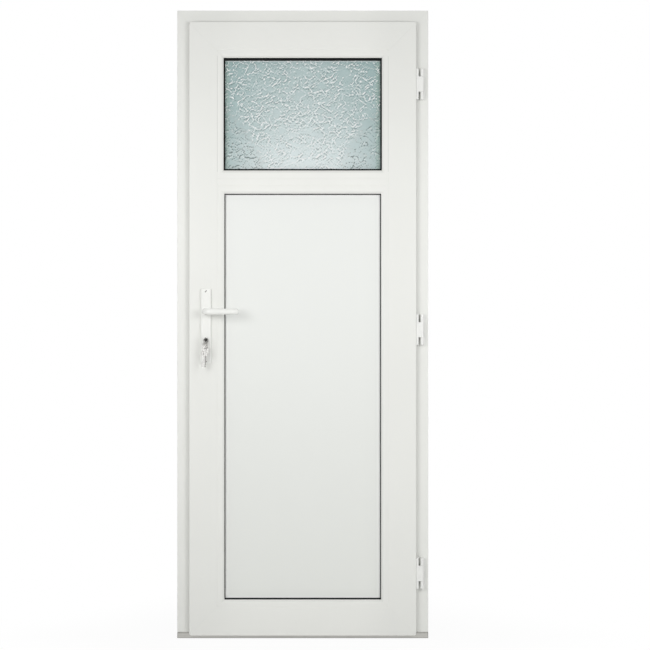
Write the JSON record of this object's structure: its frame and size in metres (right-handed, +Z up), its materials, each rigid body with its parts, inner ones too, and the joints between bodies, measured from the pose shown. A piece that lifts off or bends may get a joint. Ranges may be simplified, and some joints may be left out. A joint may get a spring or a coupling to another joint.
{
  "type": "pvc door in its frame",
  "caption": "White PVC service door in its frame: lapped leaf with an obscured glass light over a flat panel, lever handle with keyed cylinder, knuckle hinges and low threshold.",
  "frame": {"origin": "centre of the threshold's underside, on the floor", "axes": "+X to the right as seen from the room, +Y out of doors, +Z up"},
  "size_m": [0.8, 0.19, 2],
  "materials": {
    "frame_pvc": "satin white PVC",
    "threshold_aluminium": "mill aluminium",
    "leaf_pvc": "satin white PVC",
    "panel_skin": "smooth white sheet",
    "seal_rubber": "black rubber",
    "obscured_glass": "crackled relief",
    "clear_glass": "clear float glass",
    "spacer_bar": "dark edge seal",
    "lock_steel": "zinc plated steel",
    "hinge_coating": "white coating",
    "handle_coating": "white coating",
    "cylinder_nickel": "satin nickel"
  },
  "bodies": {
    "frame": {"left_jamb": "frame_pvc", "right_jamb": "frame_pvc", "frame_head": "frame_pvc", "threshold": "threshold_aluminium", "frame_seal": "seal_rubber", "strike_plate": "lock_steel", "upper_hinge_frame_leaf": "hinge_coating", "middle_hinge_frame_leaf": "hinge_coating", "lower_hinge_frame_leaf": "hinge_coating", "hinge_pins": "lock_steel"},
    "leaf": {"lock_stile": "leaf_pvc", "hinge_stile": "leaf_pvc", "top_rail": "leaf_pvc", "mid_rail": "leaf_pvc", "bottom_rail": "leaf_pvc", "glass_bead_left": "leaf_pvc", "glass_bead_right": "leaf_pvc", "glass_bead_top": "leaf_pvc", "glass_bead_bottom": "leaf_pvc", "panel_bead_left": "leaf_pvc", "panel_bead_right": "leaf_pvc", "panel_bead_top": "leaf_pvc", "panel_bead_bottom": "leaf_pvc", "front_gaskets": "seal_rubber", "back_gaskets": "seal_rubber", "glass_front_pane": "obscured_glass", "glass_back_pane": "clear_glass", "glass_spacer": "spacer_bar", "infill_panel": "panel_skin", "leaf_seal": "seal_rubber", "bottom_seal": "seal_rubber", "lock_faceplate": "lock_steel", "lock_bolts": "lock_steel", "upper_hinge_leaf": "hinge_coating", "middle_hinge_leaf": "hinge_coating", "lower_hinge_leaf": "hinge_coating", "inner_backplate": "handle_coating", "outer_backplate": "handle_coating", "lock_cylinder": "cylinder_nickel", "cylinder_key": "cylinder_nickel", "key_ring": "cylinder_nickel", "spare_keys": "cylinder_nickel"},
    "handle": {"inner_lever": "handle_coating", "outer_lever": "handle_coating", "spindle": "lock_steel"}
  },
  "joints": [
    {"name": "door_swing", "type": "hinge", "parent": "frame", "child": "leaf", "pos_m": [0.379, -0.044, 1], "axis": [0, 0, 1], "range_deg": [0, 110]},
    {"name": "lever_turn", "type": "hinge", "parent": "leaf", "child": "handle", "pos_m": [-0.3065, -0.02, 1.04], "axis": [0, 1, 0], "range_deg": [0, 45], "stiffness_Nm_per_rad": 1.5, "springref_deg": -34.38}
  ]
}
